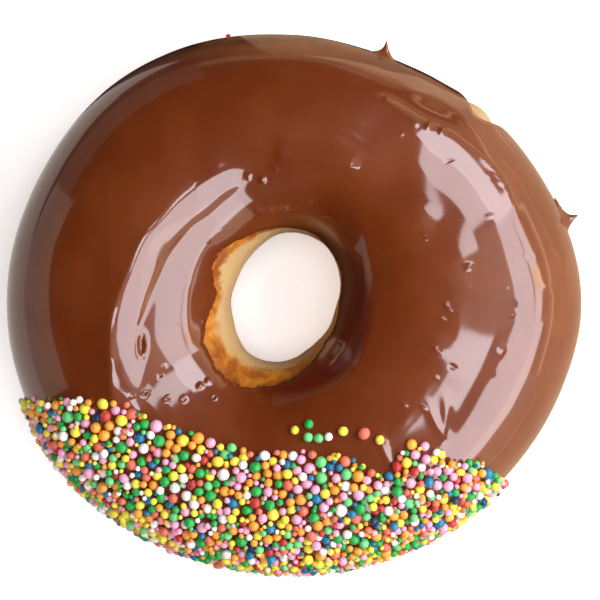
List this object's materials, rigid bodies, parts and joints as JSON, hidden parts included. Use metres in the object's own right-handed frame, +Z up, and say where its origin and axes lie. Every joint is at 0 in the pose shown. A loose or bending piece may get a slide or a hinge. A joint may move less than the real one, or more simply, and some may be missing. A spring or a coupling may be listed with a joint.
{
  "type": "iced ring doughnut",
  "caption": "Ring doughnut with chocolate icing over its upper half and round sugar sprinkles along one side.",
  "frame": {"origin": "middle of the doughnut's outline, on the surface it rests on", "axes": "+Z up through the hole, +X along the longest width, -Y towards the side with the sprinkles"},
  "size_m": [0.0925, 0.087, 0.0312],
  "materials": {
    "crust": "matte",
    "icing": "glossy",
    "sugar_balls": "satin"
  },
  "bodies": {
    "root": {"dough_ring": "crust", "chocolate_icing": "icing"}
  },
  "joints": []
}
